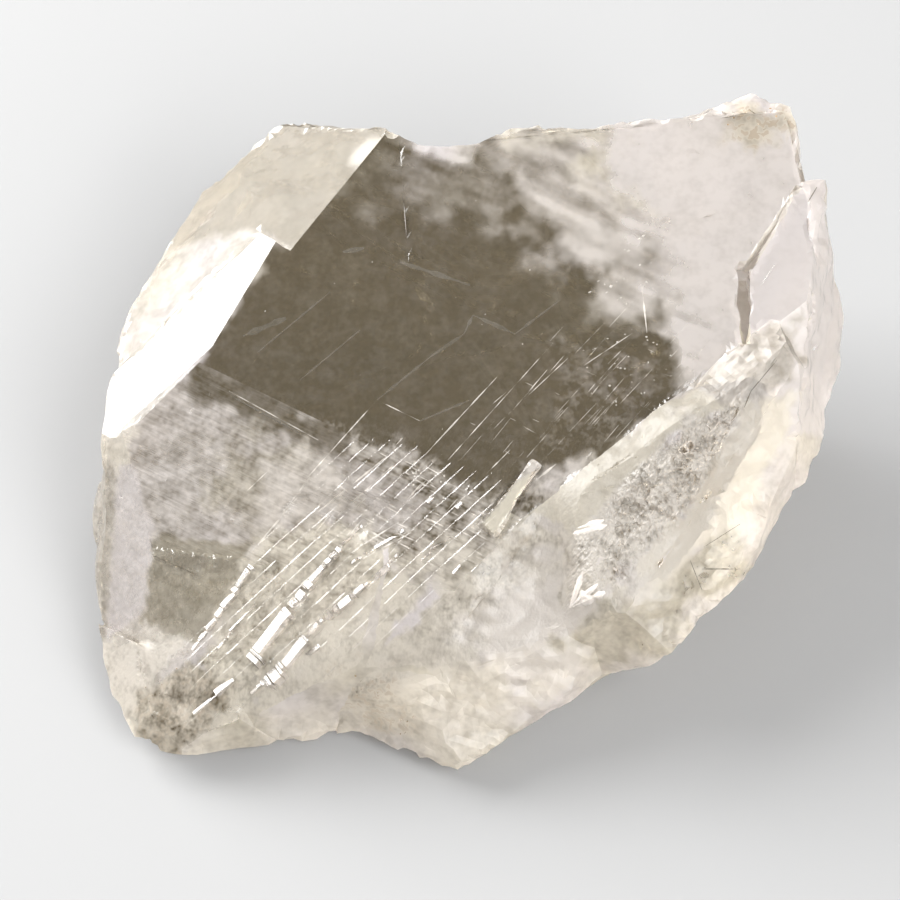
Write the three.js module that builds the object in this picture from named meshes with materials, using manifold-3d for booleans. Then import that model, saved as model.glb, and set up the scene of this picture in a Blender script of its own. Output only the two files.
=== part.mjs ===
// A clear quartz crystal, broken off its rock, lying on its broken underside.
// Millimetres, +Z up. X runs to the right and Y away from the viewer who looks down on the clear face.
// Everything that is seen grew as one piece, so the crystal is one closed solid.
//
// The solid is made the way a crystal is described: each block is the space inside a handful of flat
// faces, the blocks that grew into each other are joined, and what broke away is taken out again.

import * as THREE from 'three';
import { mergeVertices } from 'three/addons/utils/BufferGeometryUtils.js';
import Module from 'manifold-3d';

const wasm = await Module();
wasm.setup();

// Driving sizes
const REACH = 90;            // side of the raw cube that every block is cut from
const STEP_RISE = 0.42;      // thickness of one growth layer on the front lobe
const STEP_START = { x: -15.4, y: -10.7 };  // a point on the first step
const STEP_EDGES = [1.6, 4.3, 6.8, 9.6];     // how far the steps stand from it, measured across them
const STEP_END_BEARING = 55; // the steps end on the striated face in a low edge that looks this way
const STEP_END_DIP = 62;
const LEDGE_WIDTH = 0.9;     // the raw-edged bar at the foot of the clear face
const LEDGE_RISE = 0.3;      // how far it stands above the clear face
const CREVICE_WIDTH = 0.55;  // the open crack beside the right-hand crystal
const PIT_COUNT = 64;        // etch pits on the worn top of the right-hand slab
const PIT_SIZE = 0.95;       // across a common pit
const PIT_DEPTH = 0.16;
const SCOOP_DETAIL = 9;      // facets of one conchoidal scoop, as a subdivision count
const PIT_DETAIL = 1;        // the same for a small pit or chip

// Directions that the whole crystal shares, as bearings in degrees, anticlockwise from +X
const WINDOW_BEARING = 248;  // the large clear face leans gently this way
const WINDOW_DIP = 15.6;
const WHITE_BEARING = 182;   // the bright face on the left, and every growth step parallel to it
const WHITE_DIP = 27;
const AXIS_BEARING = 54;     // edges between those two faces run along this bearing

// A face looks along a bearing and is turned down from level by a dip, and passes through a point.
// A dip of 0 is a level top, 90 an upright wall, 180 a level underside.
function face(bearing, dip, x, y, z) {
  const turn = THREE.MathUtils.degToRad(bearing);
  const down = THREE.MathUtils.degToRad(dip);
  const outward = new THREE.Vector3(
    Math.cos(turn) * Math.sin(down),
    Math.sin(turn) * Math.sin(down),
    Math.cos(down),
  );
  return { outward, reach: outward.dot(new THREE.Vector3(x, y, z)) };
}

// A closed three.js geometry becomes a solid that can be joined and cut.
function solidOf(geometry) {
  geometry.deleteAttribute('normal');
  geometry.deleteAttribute('uv');
  const merged = mergeVertices(geometry, 1e-4);
  return new wasm.Manifold(new wasm.Mesh({
    numProp: 3,
    vertProperties: new Float32Array(merged.attributes.position.array),
    triVerts: new Uint32Array(merged.index.array),
  }));
}

// What lies inside every face of a list.
function within(solid, faces) {
  return faces.reduce(
    (rest, { outward, reach }) => rest.trimByPlane([-outward.x, -outward.y, -outward.z], -reach),
    solid,
  );
}

function block(faces) {
  return within(solidOf(new THREE.BoxGeometry(REACH, REACH, REACH)), faces);
}

function join(solids) {
  return solids.reduce((all, next) => all.add(next));
}

// A scoop is a smooth shallow hollow in a face: the bite of a flattened ball, three depths thick, whose
// middle lies two depths above the face. Its rim is long along the face's level lines, turned by a spin,
// and wide across them.
function scoop(surface, [x, y], [long, wide], depth, spin = 0, detail = SCOOP_DETAIL) {
  const out = surface.outward;
  const level = new THREE.Vector3(-out.y, out.x, 0).normalize().applyAxisAngle(out, spin);
  const middle = new THREE.Vector3(x, y, heightOn(surface, x, y)).addScaledVector(out, 2 * depth);
  const rimShare = Math.sqrt(1 - (2 / 3) ** 2);
  const pose = new THREE.Matrix4().makeBasis(level, out.clone().cross(level), out);
  pose.scale(new THREE.Vector3(long / 2 / rimShare, wide / 2 / rimShare, 3 * depth));
  pose.setPosition(middle);
  return solidOf(new THREE.IcosahedronGeometry(1, detail).applyMatrix4(pose));
}

// The same numbers every time, spread evenly between 0 and 1.
function spreadNumbers(seed) {
  let state = seed;
  return () => {
    state = (state * 16807) % 2147483647;
    return state / 2147483647;
  };
}

// The same face with a layer of stone grown on it.
function raised({ outward, reach }, layer) {
  return { outward, reach: reach + layer };
}

function heightOn({ outward, reach }, x, y) {
  return (reach - outward.x * x - outward.y * y) / outward.z;
}

const windowFace = face(WINDOW_BEARING, WINDOW_DIP, -9.3, -3.2, 13.7);
const milkyFace = face(163, 35, -9.1, 14.2, 18.2);
const striatedFace = face(246, 22.5, -11.3, -1.2, 14.0);
const patchFace = face(255, 27.5, -21.5, -8.1, 9.7);
const leftBevel = face(212, 50, -22.2, -6.2, 10.4);
const leftWall = face(184, 74, -26.0, -5.0, 4.5);
const backFace = face(93, 62, 3.0, 18.2, 20.2);
const rightEnd = face(345, 72, 25.0, 2.1, 11.0);
const slabTop = face(264, 27, 12.4, -8.0, 15.2);
const slabSide = face(308, 53, 15.6, -6.8, 16.0);
const outerTop = face(311, 30, 20.5, 7.2, 19.7);

// The upright sides that the main crystal turns to the left and to the back left.
function leftSides() {
  return [
    face(177, 98, -25.1, 2.5, 10.0),
    face(152, 99, -22.0, 15.6, 9.3),
    face(118, 97, -16.7, 22.1, 11.5),
  ];
}

// The main crystal: the large clear face, the milky face left of it, and the striated one below.
function mainCrystal() {
  return block([
    windowFace,
    milkyFace,
    striatedFace,
    leftBevel,
    ...leftSides(),
    backFace,
    face(8, 78, 23.4, 12.0, 19.0),
    rightEnd,
    face(318, 62, 18.5, -4.0, 15.0),
    face(294, 50, 4.8, -8.6, 13.5),
    face(252, 38, -14.3, -10.5, 10.0),
    face(262, 84, -5.0, -17.6, 4.0),
  ]);
}

// The milky face runs on to the far left corner, behind the line where the clear face breaks off.
function milkyShoulder() {
  return block([
    windowFace,
    milkyFace,
    striatedFace,
    ...leftSides(),
    face(80, 60, -6.1, 18.9, 19.4),
    face(0, 90, -4.0, 0, 0),
    face(270, 90, 0, 0, 0),
  ]);
}

// A growth layer on the left edge carries the bright face and ends in a low riser on the milky one.
function whiteLayer() {
  return block([
    windowFace,
    striatedFace,
    leftBevel,
    face(WHITE_BEARING, WHITE_DIP, -15.6, 6.1, 15.7),
    face(142, 60, -20.3, 7.5, 13.3),
    face(120, 60, -15.3, 12.8, 16.0),
    face(54, 62, -14.3, 12.0, 16.4),
    face(177, 98, -25.1, 2.5, 10.0),
    face(270, 90, 0, -5.5, 0),
    face(326, 90, -14.0, 0, 0),
    face(0, 180, 0, 0, 6),
  ]);
}

// One growth step of the front lobe: a tread, one layer up for each step, with a riser on its left
// that is parallel to the bright face.
function growthStep(offset, index) {
  const across = THREE.MathUtils.degToRad(AXIS_BEARING - 90);
  const x = STEP_START.x + offset * Math.cos(across);
  const y = STEP_START.y + offset * Math.sin(across);
  const tread = raised(patchFace, (index + 1) * STEP_RISE);
  return [
    tread,
    face(WHITE_BEARING, WHITE_DIP, x, y, heightOn(tread, x, y)),
    face(STEP_END_BEARING, STEP_END_DIP, -6.3, -9.8, 11.9),
    raised(striatedFace, 0.7 * STEP_RISE),
  ];
}

// The front lobe: a clear patch on its left, then the growth steps, and a broken end.
function frontLobe() {
  const sides = [
    windowFace,
    leftBevel,
    leftWall,
    face(226, 46, -22.2, -16.2, 5.4),
    face(264, 44, -14.0, -18.4, 5.3),
    face(258, 74, -12.0, -20.0, 3.6),
    face(284, 80, -11.6, -19.1, 2.0),
    face(340, 80, -5.5, -14.0, 6.0),
    face(70, 80, -8.0, -1.0, 8.0),
    face(118, 82, -26.2, -2.0, 8.0),
  ];
  const patch = block([patchFace, striatedFace, ...sides]);
  const steps = STEP_EDGES.map((offset, index) => block([...growthStep(offset, index), ...sides]));
  return join([patch, ...steps]);
}

// The blunt toe of the lobe: a pale broken face toward the left and a mottled one toward the front.
function lobeToe() {
  return block([
    raised(patchFace, -0.3),
    raised(leftBevel, 0.8),
    face(224, 42, -23.2, -16.0, 4.7),
    face(250, 47, -19.7, -19.0, 4.5),
    face(188, 82, -25.4, -15.0, 3.0),
    face(226, 80, -23.6, -19.6, 2.6),
    face(262, 78, -19.0, -21.1, 2.6),
    face(284, 80, -14.9, -20.0, 2.0),
    face(330, 60, -14.6, -18.6, 4.0),
    face(64, 66, -21.8, -14.4, 4.6),
  ]);
}

// The cloudy body at the front right.
function cloudyBody() {
  return block([
    face(257, 38, -0.5, -18.6, 6.6),
    face(268, 32, 5.2, -14.6, 9.5),
    face(286, 56, 14.2, -12.2, 10.4),
    face(298, 80, 11.8, -15.2, 5.5),
    face(314, 78, 17.7, -11.2, 8.2),
    face(248, 76, -4.1, -20.5, 2.0),
    face(304, 72, 4.6, -20.0, 3.8),
    face(200, 66, -7.2, -17.2, 5.6),
    face(345, 72, 20.9, -7.2, 7.5),
    face(150, 60, -6.0, -8.0, 9.0),
    face(60, 70, 12.8, -3.0, 10.0),
    raised(windowFace, -0.4),
    raised(striatedFace, -0.1),
  ]);
}

// The second crystal lies over the right end: a long slab with a worn top and a smooth lower face.
function rightSlab() {
  return block([
    slabTop,
    face(151, 30, 11.0, -4.6, 16.0),
    slabSide,
    face(206, 60, 7.6, -12.6, 12.4),
    face(266, 78, 7.4, -15.0, 11.2),
    face(326, 78, 22.2, -5.0, 10.5),
    face(16, 66, 23.6, 1.0, 14.5),
    face(70, 60, 22.0, 3.6, 17.5),
    face(330, 96, 22.0, -6.0, 8.0),
    rightEnd,
  ]);
}

// Right of the crevice a third crystal leans outward to the rounded edge.
function outerCrystal() {
  return block([
    outerTop,
    windowFace,
    face(165, 75, 18.7, 4.0, 18.6),
    face(3, 80, 25.7, 8.0, 15.0),
    face(24, 76, 25.0, 13.6, 18.0),
    face(96, 72, 24.0, 13.7, 19.0),
    rightEnd,
    face(322, 74, 22.9, -4.4, 10.5),
    face(285, 72, 16.0, -7.2, 8.0),
  ]);
}

// The stained tip at the back right corner.
function backTip() {
  return block([
    face(WINDOW_BEARING, WINDOW_DIP + 4, 19.0, 17.0, 21.3),
    face(110, 62, 19.0, 20.4, 20.4),
    face(70, 64, 22.6, 20.0, 19.4),
    face(5, 80, 23.2, 18.0, 18.0),
    face(150, 70, 14.0, 19.0, 19.0),
    face(300, 80, 18.0, 8.0, 14.0),
  ]);
}

// The bar with a raw edge at the foot of the clear face, parallel to the crystal's long edges.
function ledgeBar() {
  const side = AXIS_BEARING + 90;
  return block([
    raised(windowFace, LEDGE_RISE),
    face(side, 70, 3.0 - LEDGE_WIDTH / 2, -7.2, 13.9),
    face(side + 180, 86, 3.0 + LEDGE_WIDTH / 2, -7.8, 13.9),
    face(AXIS_BEARING, 60, 5.2, -5.6, 14.2),
    face(AXIS_BEARING + 180, 70, 1.0, -9.6, 13.0),
    face(0, 180, 3.0, -7.6, 11.0),
  ]);
}

// The underside is a broken surface with a flat in the middle, on which the crystal rests. The outer
// faces lean in under the rim, and the inner ones rise gently from the flat.
const underBack = face(74, 122, 4.0, 20.1, 13.0);
const underBackLeft = face(128, 126, -19.4, 20.7, 9.4);
const underLeft = face(186, 112, -26.5, -4.0, 4.0);
const underFront = face(266, 126, -20.8, -21.0, 2.0);
const underRight = face(340, 126, 24.5, 2.0, 9.0);
const underMiddle = face(112, 160, -5.0, 8.0, 0);

function undersideFaces() {
  return [
    face(0, 180, 0, 0, 0),
    underBack,
    underBackLeft,
    underLeft,
    underFront,
    underRight,
    underMiddle,
    face(20, 118, 24.5, 12.0, 11.0),
    face(318, 118, 17.8, -11.2, 7.4),
    face(304, 120, 9.0, -16.8, 3.8),
    face(228, 120, -24.4, -20.0, 1.8),
    face(160, 120, -24.8, 10.6, 7.6),
    face(28, 163, 11.0, 5.0, 0),
    face(196, 170, -13.0, -6.0, 0),
    face(284, 168, 4.0, -12.0, 0),
  ];
}

// Where pieces broke away: each scoop as its face, place on the plan, rim size and depth.
function breaks() {
  return [
    scoop(backFace, [-0.8, 20.0], [10, 13], 1.8),
    scoop(backFace, [8.6, 20.6], [13, 12], 1.2),
    scoop(underBack, [13.0, 17.5], [15, 9], 1.6),
    scoop(underBack, [1.0, 17.0], [12, 8], 1.2, 0.4),
    scoop(underBackLeft, [-14.0, 19.0], [12, 8], 1.3),
    scoop(underMiddle, [-8.0, 12.0], [13, 8], 0.7, 0.3),
    scoop(underMiddle, [3.0, 13.0], [9, 6], 0.5, -0.5),
    scoop(underRight, [22.0, 1.0], [12, 7], 1.2),
    scoop(underLeft, [-25.6, 2.0], [9, 6], 0.8),
    scoop(underFront, [-8.0, -20.6], [13, 5], 1.0),
    scoop(underFront, [4.0, -20.4], [10, 5], 0.8),
  ];
}

// The crevice between the clear crystal and the outer one, a thin bent blade of missing stone.
function crevice() {
  const upper = slot([19.1, 7.2], [22.7, 12.6], 17.8);
  const lower = slot([18.7, 1.6], [18.8, 7.6], 17.0);
  return upper.add(lower);
}

// An upright slot between two places on the plan, down to a floor.
function slot([fromX, fromY], [toX, toY], floor) {
  const bearing = THREE.MathUtils.radToDeg(Math.atan2(toY - fromY, toX - fromX));
  const middle = face(bearing + 90, 88, (fromX + toX) / 2, (fromY + toY) / 2, 20);
  const other = face(bearing - 90, 88, (fromX + toX) / 2, (fromY + toY) / 2, 20);
  return block([
    raised(middle, CREVICE_WIDTH / 2),
    raised(other, CREVICE_WIDTH / 2),
    face(bearing, 90, toX, toY, 0),
    face(bearing + 180, 90, fromX, fromY, 0),
    face(0, 180, 0, 0, floor),
  ]);
}

// The point nearest to a given one on the edge where two faces meet.
function onEdge(one, other, [x, y, z]) {
  const point = new THREE.Vector3(x, y, z);
  const alike = one.outward.dot(other.outward);
  const gapOne = one.reach - one.outward.dot(point);
  const gapOther = other.reach - other.outward.dot(point);
  const spread = 1 - alike ** 2;
  return point
    .addScaledVector(one.outward, (gapOne - alike * gapOther) / spread)
    .addScaledVector(other.outward, (gapOther - alike * gapOne) / spread);
}

// Small chips along the edge of two faces, from one end to the other, with sizes that vary.
function edgeChips(one, other, from, to, count, size, seed) {
  const next = spreadNumbers(seed);
  const start = onEdge(one, other, from);
  const end = onEdge(one, other, to);
  const outward = one.outward.clone().add(other.outward).normalize();
  return Array.from({ length: count }, (_, index) => {
    const place = start.clone().lerp(end, (index + next()) / count);
    const bevel = { outward, reach: outward.dot(place) };
    const long = size * (0.5 + next());
    const wide = long * (0.5 + 0.4 * next());
    return scoop(bevel, [place.x, place.y], [long, wide], long * 0.14, Math.PI * next(), PIT_DETAIL);
  });
}

function wornEdges() {
  return [
    ...edgeChips(windowFace, backFace, [-8, 18, 19], [16, 18, 21], 16, 1.5, 11),
    ...edgeChips(slabTop, slabSide, [19, -3, 17], [10.5, -13.5, 12], 14, 1.2, 23),
    ...edgeChips(outerTop, rightEnd, [24, 1, 14], [25, 6, 17], 6, 1.3, 37),
    ...edgeChips(slabSide, rightEnd, [23, -3, 11], [24, 1, 12], 5, 1.3, 41),
  ];
}

// The etched top of the slab is pitted all over, in a band between two lines on the plan.
function etchPits() {
  const next = spreadNumbers(53);
  const alongUpper = [new THREE.Vector2(14.6, -4.0), new THREE.Vector2(7.9, -11.4)];
  const alongLower = [new THREE.Vector2(18.4, -3.2), new THREE.Vector2(9.6, -13.6)];
  return Array.from({ length: PIT_COUNT }, (_, index) => {
    const share = (index + next()) / PIT_COUNT;
    const upper = alongUpper[0].clone().lerp(alongUpper[1], share);
    const lower = alongLower[0].clone().lerp(alongLower[1], share);
    const place = upper.lerp(lower, next());
    const long = PIT_SIZE * (0.5 + next());
    const rim = [long, long * (0.5 + 0.4 * next())];
    return scoop(slabTop, place.toArray(), rim, PIT_DEPTH * (0.6 + next()), Math.PI * next(), PIT_DETAIL);
  });
}

function crystalSolid() {
  const grown = join([
    mainCrystal(), milkyShoulder(), whiteLayer(), frontLobe(), lobeToe(), cloudyBody(),
    rightSlab(), outerCrystal(), backTip(), ledgeBar(),
  ]);
  const based = within(grown, undersideFaces());
  const bites = [...breaks(), crevice(), ...wornEdges(), ...etchPits()];
  return bites.reduce((rest, bite) => rest.subtract(bite), based);
}

// The finished solid as a geometry, centred on the middle of its footprint, with its rest at z = 0.
function crystalGeometry() {
  const { vertProperties, triVerts } = crystalSolid().getMesh();
  const geometry = new THREE.BufferGeometry();
  geometry.setAttribute('position', new THREE.BufferAttribute(new Float32Array(vertProperties), 3));
  geometry.setIndex(new THREE.BufferAttribute(new Uint32Array(triVerts), 1));
  geometry.computeBoundingBox();
  const { min, max } = geometry.boundingBox;
  geometry.translate(-(min.x + max.x) / 2, -(min.y + max.y) / 2, -min.z);
  geometry.computeVertexNormals();
  return geometry;
}

function quartzMaterial() {
  return new THREE.MeshStandardMaterial({ color: 0xe4ddd0, roughness: 0.12, metalness: 0 });
}

const crystal = new THREE.Mesh(crystalGeometry(), quartzMaterial());
crystal.name = 'quartz_crystal';

const part = new THREE.Group();
part.add(crystal);

export default part;
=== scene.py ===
# %% [markdown]
# # A clear quartz crystal
# The stone is one broad crystal, 53 mm long, broken off its rock. It lies on its broken underside and
# turns its large clear face up. The CAD frame gives its flat faces, growth steps and breaks. This scene
# gives it what is finer than the frame's facets: worn edges, striations, etched grain, clouds and stains.

# %% Load the frame
import math

import bmesh
import bpy
import numpy as np
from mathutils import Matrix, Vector
from mathutils.bvhtree import BVHTree


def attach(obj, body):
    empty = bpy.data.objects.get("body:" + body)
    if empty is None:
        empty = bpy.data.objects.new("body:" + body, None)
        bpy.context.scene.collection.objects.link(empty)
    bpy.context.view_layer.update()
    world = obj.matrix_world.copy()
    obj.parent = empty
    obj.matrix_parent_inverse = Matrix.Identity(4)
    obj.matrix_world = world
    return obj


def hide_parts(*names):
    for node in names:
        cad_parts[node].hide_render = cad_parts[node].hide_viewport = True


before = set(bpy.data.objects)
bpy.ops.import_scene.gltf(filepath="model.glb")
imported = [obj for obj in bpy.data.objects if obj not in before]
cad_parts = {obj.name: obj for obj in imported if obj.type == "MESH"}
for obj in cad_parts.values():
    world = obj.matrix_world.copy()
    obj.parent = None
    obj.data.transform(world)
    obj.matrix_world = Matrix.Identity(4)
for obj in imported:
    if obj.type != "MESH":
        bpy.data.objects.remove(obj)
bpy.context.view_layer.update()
MM = 0.001

# %% [markdown]
# ## The viewpoint
# The stone is seen from the front, 60 degrees above the level, through a long lens. The camera comes
# first, because many small features are placed by where they are seen, and are then laid on the stone.

# %% Camera
ELEVATION = math.radians(60)
LENS, SENSOR, IMAGE = 100, 36, 900  # lens and sensor in mm, image in pixels
SEEN = 62.5 * MM  # width of the view at the stone
LOOK = Vector((-1.1, -2.97, 10.0)) * MM
BACK = Vector((0, -math.cos(ELEVATION), math.sin(ELEVATION)))
UP = Vector((0, math.sin(ELEVATION), math.cos(ELEVATION)))
EYE = LOOK + BACK * (SEEN * LENS / SENSOR)


def put(name, data):
    """A new object in the scene, made of a mesh, lamp or camera."""
    thing = bpy.data.objects.new(name, data)
    bpy.context.collection.objects.link(thing)
    return thing


camera = bpy.data.cameras.new("camera")
camera.lens, camera.sensor_width = LENS, SENSOR
camera.clip_start = 0.005
viewer = put("camera", camera)
viewer.location = EYE
viewer.rotation_euler = (math.pi / 2 - ELEVATION, 0, 0)
bpy.context.scene.camera = viewer
print("camera:", round((EYE - LOOK).length / MM), "mm from the stone")


def sight(pixels):
    """Way from the eye to each pixel, on an image plane a focal length away, in pixels."""
    aside, up = pixels[..., :1] - IMAGE / 2, IMAGE / 2 - pixels[..., 1:]
    return aside * np.array((1.0, 0, 0)) + up * np.array(UP) - np.array(BACK) * (LENS / SENSOR * IMAGE)


def seen_at(places):
    """Pixel column and row of each place: its sideways and upward distance over its distance away."""
    away = places - np.array(EYE)
    scale = LENS / SENSOR * IMAGE / -(away @ np.array(BACK))
    return np.stack([IMAGE / 2 + away[:, 0] * scale, IMAGE / 2 - (away @ np.array(UP)) * scale], 1)


# %% [markdown]
# ## Outlines and noise
# Three helpers serve everything that follows. The first is a smooth random field, so that nothing looks
# ruled. The second gives the distance from an outline in the view, and the third a soft border there.

# %% Outlines and noise
def waves(places, size, seed, count=40):
    """A smooth random field about 1 high: the sum of even waves in random directions, a size long."""
    dice = np.random.default_rng(seed)
    ways = dice.normal(size=(count, places.shape[1]))
    ways /= np.linalg.norm(ways, axis=1)[:, None]
    pace = 2 * np.pi / size * dice.uniform(0.6, 1.5, count)
    phase = dice.uniform(0, 2 * np.pi, count)
    return np.cos(places @ (ways * pace[:, None]).T + phase).sum(axis=1) * math.sqrt(2 / count)


def outside(seen, outline):
    """Distance in pixels to the nearest side of a closed outline, less than 0 inside it."""
    start = np.array(outline, float)
    side = np.roll(start, -1, axis=0) - start
    least = np.full(len(seen), np.inf)
    crossings = np.zeros(len(seen), int)
    for corner, run in zip(start, side):
        away = seen - corner
        along = np.clip(away @ run / (run @ run), 0, 1)
        least = np.minimum(least, np.linalg.norm(away - along[:, None] * run, axis=1))
        spans = (away[:, 1] < 0) != (away[:, 1] < run[1])
        crossings += spans & (away[:, 0] < run[0] * away[:, 1] / (run[1] or 1))
    return np.where(crossings % 2 == 1, -least, least)


def soft(distance, width):
    """1 well inside, 0 well outside, and an even slope of the given width between."""
    share = np.clip(0.5 - distance / width, 0, 1)
    return share * share * (3 - 2 * share)


# %% [markdown]
# ## The skin
# The frame's solid has few triangles, and a worn stone needs points everywhere. A copy of it is merged
# and its long edges are halved again and again. After each round the triangles that lie in one plane are
# turned to the roundest shapes, so flat faces stay flat. Where the stone is stepped and etched the
# points stand nearly three times closer.

# %% Make the skin
CELL = 0.70 * MM  # longest edge of the skin
FINE_ROUNDS = 3  # further halvings where it is stepped or etched
FACES_UP = 0.2  # least upward share of a direction that faces up
DETAILED = [(120, 440), (205, 372), (330, 430), (430, 440), (560, 450), (680, 400), (752, 390), (745, 430),
            (700, 520), (610, 600), (560, 625), (420, 660), (250, 720), (190, 735), (110, 690)]


def halve(mesh, long_edges):
    """Each of the edges gets a point at its middle, and flat neighbours swap diagonals."""
    bmesh.ops.subdivide_edges(mesh, edges=long_edges, cuts=1)
    bmesh.ops.triangulate(mesh, faces=mesh.faces[:])
    flat = [edge for edge in mesh.edges if edge.is_manifold and edge.calc_face_angle() < 0.001]
    bmesh.ops.beautify_fill(mesh, faces=mesh.faces[:], edges=flat, method="ANGLE")


def detailed_edges(mesh, limit):
    """The edges over the limit that face up inside the detailed outline."""
    edges = [e for e in mesh.edges if e.calc_length() > limit and e.verts[0].normal.z > FACES_UP]
    middles = np.array([(e.verts[0].co + e.verts[1].co) / 2 for e in edges])
    inside = outside(seen_at(middles), DETAILED) < 0
    return [edge for edge, chosen in zip(edges, inside) if chosen]


def fine_copy(node):
    """The node's mesh, merged, with no edge much longer than the cell."""
    mesh = bmesh.new()
    mesh.from_mesh(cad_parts[node].data)
    bmesh.ops.remove_doubles(mesh, verts=mesh.verts[:], dist=1e-7)
    bmesh.ops.dissolve_limit(mesh, angle_limit=0.0008, verts=mesh.verts[:], edges=mesh.edges[:])
    bmesh.ops.triangulate(mesh, faces=mesh.faces[:])
    for round_left in range(8, -1, -1):
        limit = CELL * 2 ** (round_left / 2)
        halve(mesh, [edge for edge in mesh.edges if edge.calc_length() > limit])
    for further in range(1, FINE_ROUNDS + 1):
        mesh.normal_update()
        halve(mesh, detailed_edges(mesh, CELL / 2 ** (further / 2)))
    fine = bpy.data.meshes.new("crystal_skin")
    mesh.to_mesh(fine)
    mesh.free()
    fine.attributes.remove(fine.attributes["custom_normal"])  # the frame's own shading, out of date
    return fine


skin_mesh = fine_copy("quartz_crystal")
skin = put("crystal_skin", skin_mesh)
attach(skin, "root")
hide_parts("quartz_crystal")
print("skin:", len(skin_mesh.vertices), "points,", len(skin_mesh.polygons), "triangles")


# %% [markdown]
# From here on the skin is worked on as arrays: its points, the two points of each edge, and the
# direction, middle and place in the view of each triangle.

# %% Read the skin as arrays
def read(collection, name, width, kind=np.float32):
    """One property of every element of a mesh, as an array with a row for each."""
    values = np.empty(len(collection) * width, kind)
    collection.foreach_get(name, values)
    return values.reshape(-1, width)


points = read(skin_mesh.vertices, "co", 3).astype(float)
normals = read(skin_mesh.vertices, "normal", 3).astype(float)
corners = read(skin_mesh.polygons, "vertices", 3, np.int32)
edge_points = read(skin_mesh.edges, "vertices", 2, np.int32)
face_normals = read(skin_mesh.polygons, "normal", 3).astype(float)
face_middles = points[corners].mean(axis=1)
face_seen = seen_at(face_middles)
print("skin spans", (np.ptp(points, axis=0) / MM).round(1), "mm")

# %% [markdown]
# ## Which face is which
# Each growth face is found by where it is seen: the nearest triangle there gives its plane, and every
# triangle in that plane belongs to it. Two directions come from the planes. The long edges and the
# growth steps run where the clear and the bright face would meet, and the striations run where the
# clear and the striated face do.

# %% Find the faces
def plane_seen(column, row):
    """Outward direction and distance of the plane seen at a pixel: that of the triangle for which the
    depth in mm and the distance from the pixel add up to the least."""
    depth = -((face_middles - np.array(EYE)) @ np.array(BACK)) / MM
    depth[face_normals @ np.array(BACK) < 0.05] = np.inf
    nearest = np.argmin(depth + np.hypot(face_seen[:, 0] - column, face_seen[:, 1] - row))
    return face_normals[nearest], face_normals[nearest] @ face_middles[nearest]


def parallel(normal, degrees):
    """True for each triangle that faces within some degrees of a direction."""
    return face_normals @ normal > math.cos(math.radians(degrees))


def on_plane(plane, column, row):
    """The place on a plane that is seen at a pixel."""
    way = sight(np.array((column, row), float))
    normal, distance = plane
    return np.array(EYE) + way * (distance - np.array(EYE) @ normal) / (way @ normal)


def unit(ways):
    """The same directions, each 1 long."""
    return ways / np.linalg.norm(ways, axis=-1, keepdims=True)


def in_plane(plane):
    """True for each triangle that lies in a plane, to 1 degree and 0.02 mm."""
    normal, distance = plane
    return parallel(normal, 1) & (np.abs(face_middles @ normal - distance) < 0.02 * MM)


clear_plane = plane_seen(450, 300)
bright_plane = plane_seen(185, 350)
striated_plane = plane_seen(250, 460)
tread_plane = plane_seen(180, 590)
milky_plane = plane_seen(270, 180)
bevel_plane = plane_seen(125, 560)
GROWTH = [clear_plane, bright_plane, striated_plane, tread_plane, milky_plane, bevel_plane]
growth_faces = np.any([parallel(normal, 0.7) for normal, distance in GROWTH], axis=0)
clear, bright, striated, tread = (normal for normal, distance in GROWTH[:4])
step_way = unit(np.cross(clear, bright))
striation_way = unit(np.cross(clear, striated))
print("growth faces:", int(growth_faces.sum()), "triangles; steps run", step_way.round(2),
      "and striations", striation_way.round(2))

# %% [markdown]
# ## Relief
# Growth faces stay flat. Every broken surface gets the slow swells and ripples of a shell-like fracture,
# and its edges are worn back, more in some places than in others. The stepped part gets many more growth
# steps, finer than the frame's: across them the surface climbs a short riser, parallel to the bright
# face so that it shines with it, and then falls back slowly to the next.

# %% Growth steps in the mesh
def growth_steps(across, along, spacing, slope, height, seed):
    """Climbs at the slope up to the height, then sinks evenly back to 0 within one spacing. Each step
    has a height of its own, and all of them wander a little."""
    dice = np.random.default_rng(seed)
    wander = 0.05 * waves(np.stack([across, along], 1), 5 * spacing, seed + 1)
    place = across / spacing + wander
    step = np.floor(place).astype(int)
    own = dice.uniform(0, 1, 512)[step % 512] ** 3
    peak = np.clip(height * own, 1e-9, 0.6 * slope * spacing)
    climbed = (place - step) * spacing
    riser = peak / slope
    return np.minimum(slope * climbed, peak * (spacing - climbed) / (spacing - riser))


# %% [markdown]
# Two values from 0 to 1 steer the relief at each point: the share of broken triangles around it, and how
# sharply the triangles there turn, which is how far the mean of their directions falls short of 1.

# %% Broken ground and edges
shared = np.zeros(len(points))
np.add.at(shared, corners.ravel(), np.repeat(growth_faces.astype(float), 3))
around = np.bincount(corners.ravel(), minlength=len(points))
broken = 1 - shared / around
mean_normal = np.zeros_like(points)
np.add.at(mean_normal, corners.ravel(), np.repeat(face_normals, 3, axis=0))
sharp = np.clip(4 * (1 - np.linalg.norm(mean_normal, axis=1) / around), 0, 1)
point_seen = seen_at(points)
upward = normals[:, 2] > 0.25
places = points / MM
print("points on broken ground:", int((broken > 0.5).sum()), "and on edges:", int((sharp > 0.5).sum()))

# %% [markdown]
# The stepped lobe is one even sheet under its fine steps, where the frame has coarse ledges. A polynomial
# is fitted to the ledges and the points are drawn to it. Averaging each point with its neighbours then
# takes out what corners are left, there and at the two worn ends of the slab.

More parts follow.
